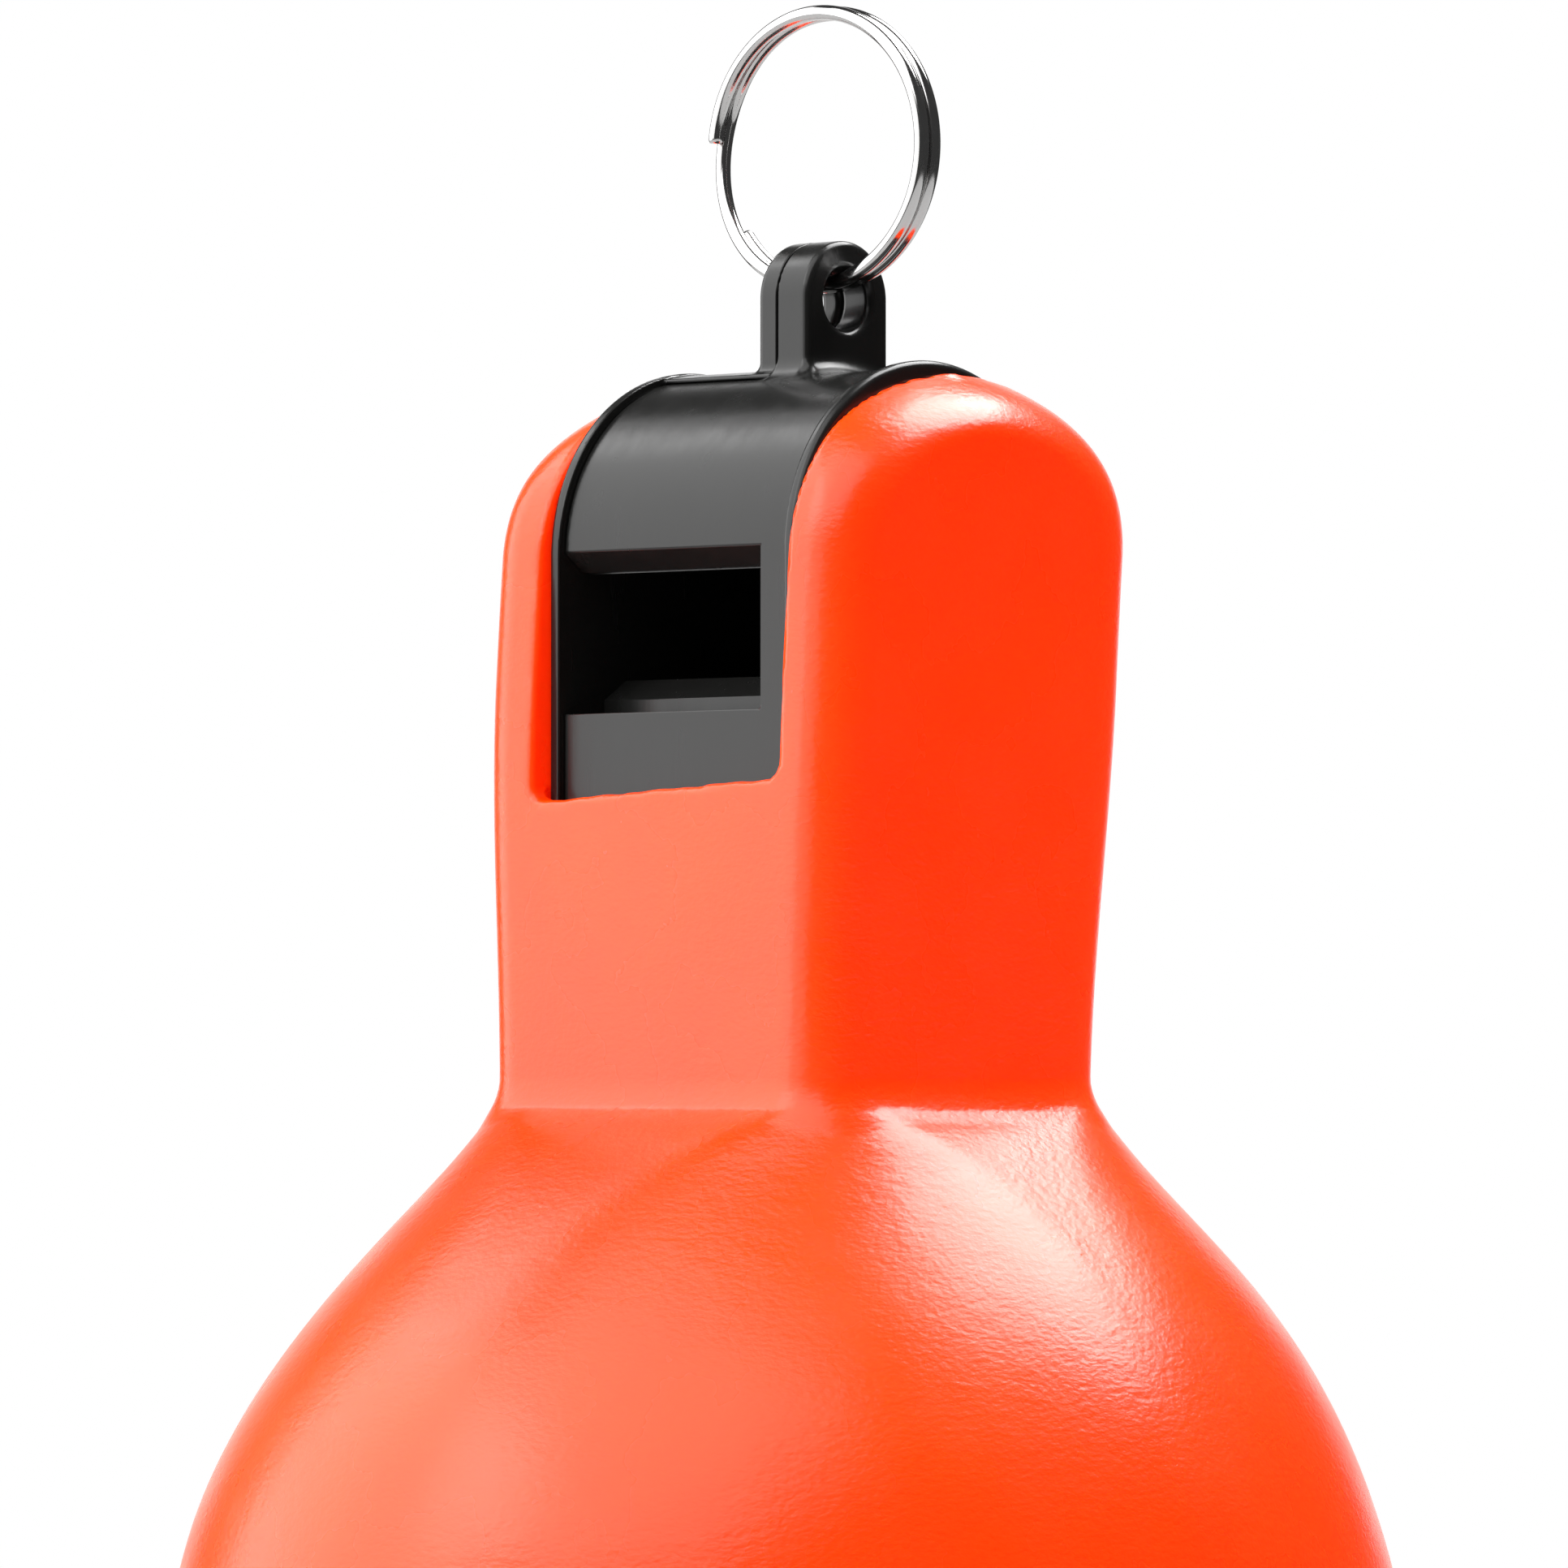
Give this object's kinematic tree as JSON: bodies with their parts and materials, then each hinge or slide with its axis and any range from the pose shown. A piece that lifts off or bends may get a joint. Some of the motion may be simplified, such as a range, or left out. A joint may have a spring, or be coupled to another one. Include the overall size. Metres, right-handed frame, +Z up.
{
  "type": "hand whistle",
  "caption": "Hand-squeezed whistle: a soft round bulb with a square neck, a hard plastic whistle pressed into it, and a split ring in the whistle's lug.",
  "frame": {"origin": "middle of the bulb's flat base", "axes": "+Z up, from the base to the ring; -Y is the side with the whistle's window; X runs across the whistle, along its barrel"},
  "size_m": [0.067, 0.067, 0.1214],
  "materials": {
    "soft_vinyl": "soft satin vinyl, orange",
    "black_plastic": "semi-gloss black",
    "plated_steel": "bright nickel plate"
  },
  "bodies": {
    "whistle": {"bulb": "soft_vinyl", "whistle_body": "black_plastic", "whistle_cover": "black_plastic"},
    "ring": {"split_ring": "plated_steel"}
  },
  "joints": [
    {"name": "ring_swing", "type": "hinge", "parent": "whistle", "child": "ring", "pos_m": [0.0004, 0.0023, 0.1056], "axis": [1, 0, 0], "range_deg": [-125, 110]}
  ]
}
